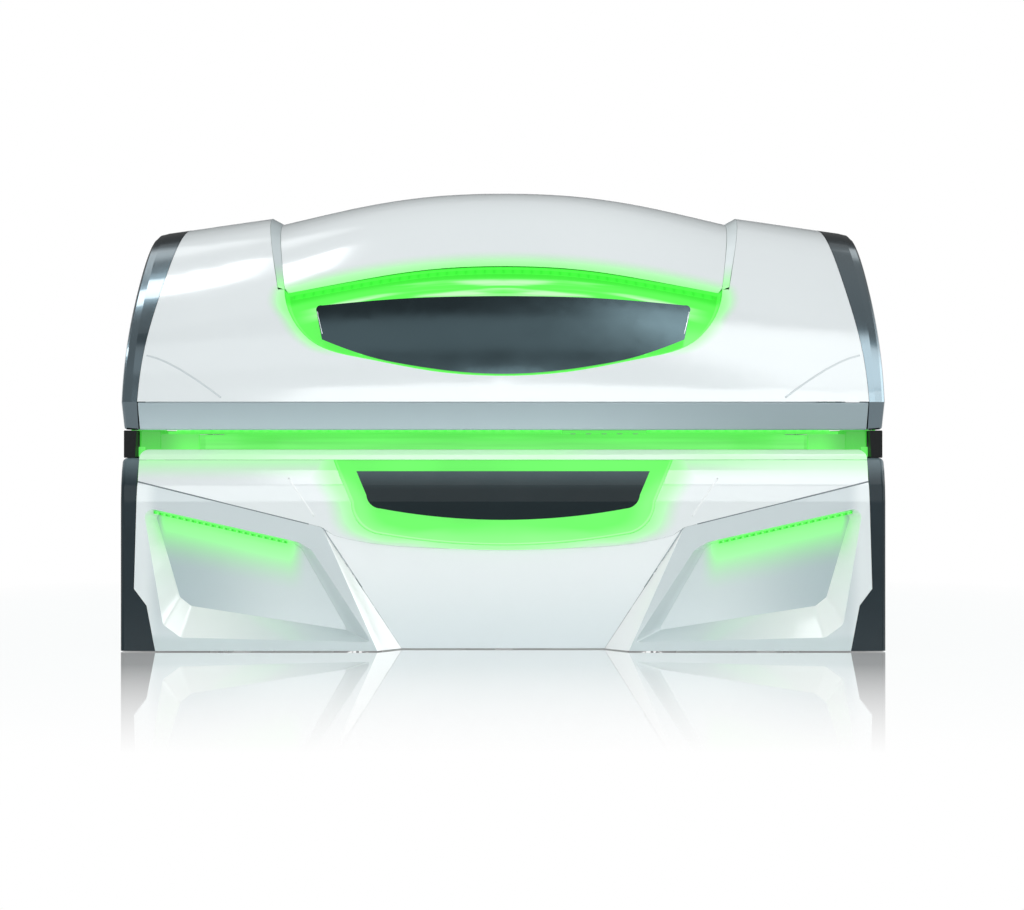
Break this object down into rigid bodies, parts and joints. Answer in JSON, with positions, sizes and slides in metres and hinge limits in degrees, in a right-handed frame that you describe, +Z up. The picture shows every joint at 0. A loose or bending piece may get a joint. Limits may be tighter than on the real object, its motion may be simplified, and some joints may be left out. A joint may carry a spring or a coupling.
{
  "type": "clamshell tanning bed",
  "caption": "Clamshell tanning bed: a bench with lit front pockets under an arched, hinged canopy with an air intake, both lined with lamp tubes behind clear acrylic.",
  "frame": {"origin": "middle of the footprint on the floor", "axes": "+X along the bed to the viewer's right, -Y the boarding side, +Z up; the canopy is closed"},
  "size_m": [2.32, 1.35, 1.4868],
  "materials": {
    "white_abs": "high gloss white",
    "slate_abs": "gloss dark slate",
    "satin_slate": "satin dark slate",
    "grey_rail": "satin grey",
    "black_abs": "fine texture black",
    "acrylic": "clear polished PMMA",
    "tube_glass": "phosphor-coated tube",
    "holder": "moulded white",
    "reflector_al": "bright rolled",
    "frame_steel": "powder coat grey",
    "pin_steel": "bright steel",
    "spring_black": "black enamel",
    "rod_chrome": "hard chrome",
    "green_light": "lit translucent green",
    "tray_green": "translucent white lit green",
    "grey_abs": "fine texture grey",
    "foot_rubber": "moulded",
    "fan_black": "moulded",
    "guard_wire": "black enamel",
    "ballast": "enamel",
    "button_grey": "soft touch"
  },
  "bodies": {
    "bench": {"ballast_boxes": "ballast", "bench_acrylic": "acrylic", "bench_end_cap_left": "slate_abs", "bench_end_cap_right": "slate_abs", "bench_end_plates": "holder", "bench_fascia": "white_abs", "bench_frame": "frame_steel", "bench_front_rim": "white_abs", "bench_lampholders": "holder", "bench_lamps": "tube_glass", "bench_rear_panel": "grey_abs", "bench_rear_rim": "white_abs", "bench_reflector": "reflector_al", "centre_kick_panel": "white_abs", "fan_guards": "guard_wire", "fan_housing_left": "fan_black", "fan_housing_right": "fan_black", "fascia_light_tray": "tray_green", "fascia_plate": "satin_slate", "gap_corner_bolsters": "tray_green", "gap_trims": "black_abs", "hinge_pins": "pin_steel", "levelling_feet": "foot_rubber", "mains_gland": "black_abs", "spring_base_studs": "pin_steel", "wing_led_strips": "green_light", "wing_panel_left": "white_abs", "wing_panel_right": "white_abs"},
    "canopy": {"canopy_acrylic": "acrylic", "canopy_centre_panel": "white_abs", "canopy_end_cap_left": "slate_abs", "canopy_end_cap_right": "slate_abs", "canopy_end_plates": "holder", "canopy_frame": "frame_steel", "canopy_front_trim": "grey_abs", "canopy_gap_light_strip": "green_light", "canopy_grip_rail": "grey_rail", "canopy_lampholders": "holder", "canopy_lamps": "tube_glass", "canopy_notch_trims": "white_abs", "canopy_rear_trim": "grey_abs", "canopy_reflector": "reflector_al", "canopy_shell": "white_abs", "canopy_skirt_strip": "grey_abs", "control_panel": "satin_slate", "intake_channel": "tray_green", "intake_deflector": "satin_slate", "intake_light_guide": "green_light", "spring_canopy_studs": "pin_steel"},
    "spring_cylinder_left": {"gas_spring_cylinder_left": "spring_black"},
    "spring_cylinder_right": {"gas_spring_cylinder_right": "spring_black"},
    "spring_rod_left": {"gas_spring_rod_left": "rod_chrome"},
    "spring_rod_right": {"gas_spring_rod_right": "rod_chrome"},
    "fan_left": {"fan_rotor_left": "fan_black"},
    "fan_right": {"fan_rotor_right": "fan_black"},
    "button_1": {"button_1": "button_grey"},
    "button_2": {"button_2": "button_grey"},
    "button_3": {"button_3": "button_grey"},
    "button_4": {"button_4": "button_grey"},
    "button_5": {"button_5": "button_grey"}
  },
  "joints": [
    {"name": "canopy_hinge", "type": "hinge", "parent": "bench", "child": "canopy", "pos_m": [0, 0.575, 0.69], "axis": [-1, 0, 0], "range_deg": [0, 38]},
    {"name": "spring_swing_left", "type": "hinge", "parent": "bench", "child": "spring_cylinder_left", "pos_m": [-1.085, 0.47, 0.3], "axis": [1, 0, 0], "range_deg": [-8.89, 0.3]},
    {"name": "spring_stroke_left", "type": "slide", "parent": "spring_cylinder_left", "child": "spring_rod_left", "axis": [0, 0.0306, 0.9995], "range_m": [-0.0005, 0.0431]},
    {"name": "spring_swing_right", "type": "hinge", "parent": "bench", "child": "spring_cylinder_right", "pos_m": [1.085, 0.47, 0.3], "axis": [1, 0, 0], "range_deg": [-8.89, 0.3]},
    {"name": "spring_stroke_right", "type": "slide", "parent": "spring_cylinder_right", "child": "spring_rod_right", "axis": [0, 0.0306, 0.9995], "range_m": [-0.0005, 0.0431]},
    {"name": "fan_spin_left", "type": "hinge", "parent": "bench", "child": "fan_left", "pos_m": [-0.55, 0.519, 0.215], "axis": [0, 1, 0], "continuous": true},
    {"name": "fan_spin_right", "type": "hinge", "parent": "bench", "child": "fan_right", "pos_m": [0.55, 0.519, 0.215], "axis": [0, 1, 0], "continuous": true},
    {"name": "button_1_press", "type": "slide", "parent": "canopy", "child": "button_1", "axis": [0, 0, 1], "range_m": [0, 0.0015], "stiffness_N_per_m": 400},
    {"name": "button_2_press", "type": "slide", "parent": "canopy", "child": "button_2", "axis": [0, 0, 1], "range_m": [0, 0.0015], "stiffness_N_per_m": 400},
    {"name": "button_3_press", "type": "slide", "parent": "canopy", "child": "button_3", "axis": [0, 0, 1], "range_m": [0, 0.0015], "stiffness_N_per_m": 400},
    {"name": "button_4_press", "type": "slide", "parent": "canopy", "child": "button_4", "axis": [0, 0, 1], "range_m": [0, 0.0015], "stiffness_N_per_m": 400},
    {"name": "button_5_press", "type": "slide", "parent": "canopy", "child": "button_5", "axis": [0, 0, 1], "range_m": [0, 0.0015], "stiffness_N_per_m": 400}
  ],
  "couplings": [
    {"joint": "spring_swing_left", "follows": "canopy_hinge", "ratio": -0.22597},
    {"joint": "spring_stroke_left", "follows": "canopy_hinge", "m_per_rad": 0.064285},
    {"joint": "spring_swing_right", "follows": "canopy_hinge", "ratio": -0.22597},
    {"joint": "spring_stroke_right", "follows": "canopy_hinge", "m_per_rad": 0.064285}
  ]
}
